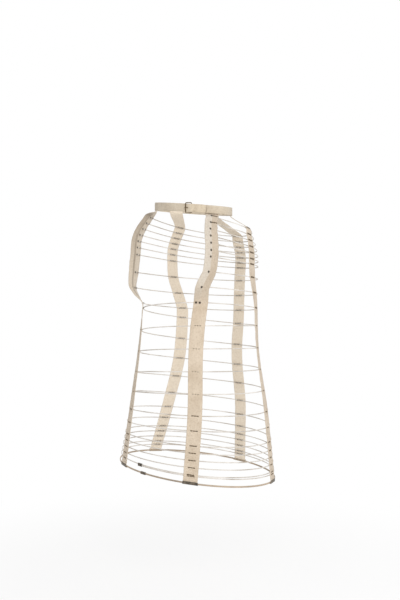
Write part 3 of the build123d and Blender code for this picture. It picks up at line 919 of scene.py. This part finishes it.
belt_line = belt_run(bar_place + fold_length, bar_place + 2 * wrap, fold_out)
belt_line += [belt_spot(bar_place + bar_wide / 2, fold_over), belt_spot(bar_place - wrap, fold_over)]
belt_line += [belt_spot(bar_place - wrap, 0)]
belt_line += belt_run(bar_place + wrap, 360 * belt_pace - bar_place, 0)
belt_line += [belt_spot(bar_wide - bar_place, 0), belt_spot(bar_place - wrap - band_thick, tail_over)]
belt_line += [belt_spot(bar_place + bar_wide, tail_over)]
belt_line += belt_run(bar_place + 3 * wrap, bar_place + tail_length, tail_out)
belt_line = eased(belt_line)
belt_sides = [chord_normal(a, b) for a, b in zip(belt_line, belt_line[1:])]
belt_runs = lengths(belt_line)
belt_rings, end_shadow, belt_shade = [], [], []
for i, (point, run) in enumerate(zip(belt_line, belt_runs)):
    before, after = belt_sides[max(i - 1, 0)], belt_sides[min(i, len(belt_sides) - 1)]
    out = (before + after).normalized()
    out = out / max(mitre_limit, out.dot(after))
    to_end = belt_runs[-1] - run
    tall = band_tall / 2
    if to_end <= tip_length:
        tall *= tip_share + tip_rise * math.sqrt(1 - (1 - to_end / tip_length) ** 2)
    outer, inner = [], []
    for j in range(belt_columns + 1):
        share = 2 * j / belt_columns - 1
        wave = noise.noise(Vector((run / belt_wave_length, share * 2, 4))) * share**2 * belt_wave
        thick = band_thick / 2 * (1 - edge_thinning * abs(share) ** 8)
        mid = point + UP * (share * tall) + out * wave
        outer.append(mid + out * (thick - edge_drop * abs(share) ** 6))
        inner.append(mid - out * thick)
    belt_rings.append(outer + list(reversed(inner)))
    # Painted shadow across the tail's end, where it steps down onto the belt beneath.
    end_shadow += [float(to_end < end_shadow_length)] * len(belt_rings[-1])
    # Painted shade: the belt away from the tail is darker and greyer than the tail lying over it.
    belt_shade += [belt_shade_share * (to_end > tail_length + buckle_length)] * len(belt_rings[-1])
heights = [band_tall * j / belt_columns for j in range(belt_columns + 1)]
belt = mesh_object("cloth_waistband", *lofted(belt_rings, belt_runs, heights + list(reversed(heights)) + [0]))
mark(belt, soiled=end_shadow, turned=belt_shade)
piece(belt, belt_cotton, "band_cotton", "waistband")

# Seams on the waistband: one box of stitches for each tape
seam_spacing, seam_stitch, seam_lift, seam_radius, seam_sides = 3.2, 2.2, 0.2, 0.28, 5
box_half, box_low, box_high = 17.0, -9.0, 4.5


def running_stitches(at, length):
    """Short threads along a line given as a function of length, lifted a little off the cloth."""
    made = []
    for i in range(int(length / seam_spacing)):
        a = i * seam_spacing + (seam_spacing - seam_stitch) / 2
        p, out = at(a)
        q, _ = at(a + seam_stitch)
        lift = out * seam_lift
        made.append([p - lift, p.lerp(q, 0.3) + lift, p.lerp(q, 0.7) + lift, q - lift])
    return made


def on_belt(angle, side, up):
    """Point on the belt's outer face beside an angle, with the way out."""
    point, normal = waist_spot(angle + side / step(waist_spot, angle).length, band_thick)
    return point + UP * up, normal


lines = []
for angle in (front_waist_angle, side_waist_angle, back_waist_angle, -side_waist_angle, -front_waist_angle):
    for up in (box_low, box_high):
        lines += running_stitches(lambda a: on_belt(angle, a - box_half, up), 2 * box_half)
    for side in (-box_half, box_half):
        lines += running_stitches(lambda a: on_belt(angle, side, a + box_low), box_high - box_low)
piece(threads("seam_stitches", lines, seam_radius, seam_sides), pale_thread, "band_cotton")


# Floor and world: both plain white to the camera, apart from the floor's shadow near the middle
def seen_directly(tree):
    """One for rays from the camera or from a reflection, and nought for the rest."""
    path = tree.nodes.new("ShaderNodeLightPath")
    rays = [path.outputs["Is Camera Ray"], path.outputs["Is Glossy Ray"]]
    return joined(tree, "ShaderNodeMath", "MAXIMUM", *rays).outputs["Value"]


def blended(tree, share, first, second, output):
    """Mixes two shaders by a share into the output of a tree."""
    blend = tree.nodes.new("ShaderNodeMixShader")
    for source, socket in zip((share, first, second), blend.inputs):
        tree.links.new(source, socket)
    tree.links.new(blend.outputs["Shader"], tree.nodes[output].inputs["Surface"])


floor_drop, floor_radius, floor_sides = 1.08, 9.0, 96
shadow_near, shadow_far, shadow_white = 0.3, 1.2, 0.55
work = bmesh.new()
bmesh.ops.create_circle(work, cap_ends=True, segments=floor_sides, radius=floor_radius)
floor_mesh = bpy.data.meshes.new("floor")
work.to_mesh(floor_mesh)
work.free()
floor = bpy.data.objects.new("floor", floor_mesh)
floor.location = (0, 0, -floor_drop)
bpy.context.collection.objects.link(floor)
paper, tree, shader = material("floor_paper")
shader.inputs["Base Color"].default_value = (0.90, 0.90, 0.90, 1)
shader.inputs["Roughness"].default_value = 0.9
shader.inputs["Specular IOR Level"].default_value = 0.1
reach = joined(tree, "ShaderNodeVectorMath", "LENGTH", object_place(tree)).outputs["Value"]
far = ranged(tree, reach, shadow_near, shadow_far, shadow_white, 1.0, "SMOOTHSTEP")
share = joined(tree, "ShaderNodeMath", "MULTIPLY", far, seen_directly(tree)).outputs["Value"]
white = node(tree, "ShaderNodeEmission", Color=(*WHITE, 1), Strength=1.0)
blended(tree, share, shader.outputs["BSDF"], white.outputs["Emission"], "Material Output")
floor_mesh.materials.append(paper)

world = bpy.data.worlds.new("studio")
bpy.context.scene.world = world
world.use_nodes = True
tree = world.node_tree
soft = tree.nodes["Background"]
soft.inputs["Color"].default_value = (*WHITE, 1)
soft.inputs["Strength"].default_value = 0.72
plain = node(tree, "ShaderNodeBackground", Color=(*WHITE, 1), Strength=1.0)
blended(tree, seen_directly(tree), soft.outputs["Background"], plain.outputs["Background"], "World Output")

# Lamps and camera
camera_turn = radians(37.85)
camera_side, camera_front, camera_height = 0.0108, 2.44, -0.2643
middle_back, middle_height = 0.015, -0.40
right = Vector((cos(camera_turn), sin(camera_turn), 0))
toward = Vector((sin(camera_turn), -cos(camera_turn), 0))
middle = Vector((0, middle_back, middle_height))


def lamp(name, side, front, up, size, power):
    """Soft square lamp, placed beside, in front of and above the object as the camera sees it."""
    data = bpy.data.lights.new(name, "AREA")
    data.size = size
    data.energy = power
    thing = bpy.data.objects.new(name, data)
    thing.location = middle + right * side + toward * front + UP * up
    thing.rotation_mode = "QUATERNION"
    thing.rotation_quaternion = (middle - thing.location).to_track_quat("-Z", "Y")
    bpy.context.collection.objects.link(thing)


lamp("key", side=0.5, front=2.7, up=1.4, size=1.6, power=41.0)
lamp("fill", side=2.3, front=1.4, up=0.7, size=1.6, power=7.0)
lamp("back", side=0.5, front=-2.4, up=1.5, size=1.6, power=14.0)

camera_data = bpy.data.cameras.new("camera")
camera_data.lens = 50
camera_data.sensor_width = 36
camera = bpy.data.objects.new("camera", camera_data)
camera.location = Vector((0, middle_back, camera_height)) + right * camera_side + toward * camera_front
camera.rotation_mode = "QUATERNION"
camera.rotation_quaternion = (-toward).to_track_quat("-Z", "Y")
bpy.context.collection.objects.link(camera)
bpy.context.scene.camera = camera
bpy.context.scene.view_settings.view_transform = "Standard"
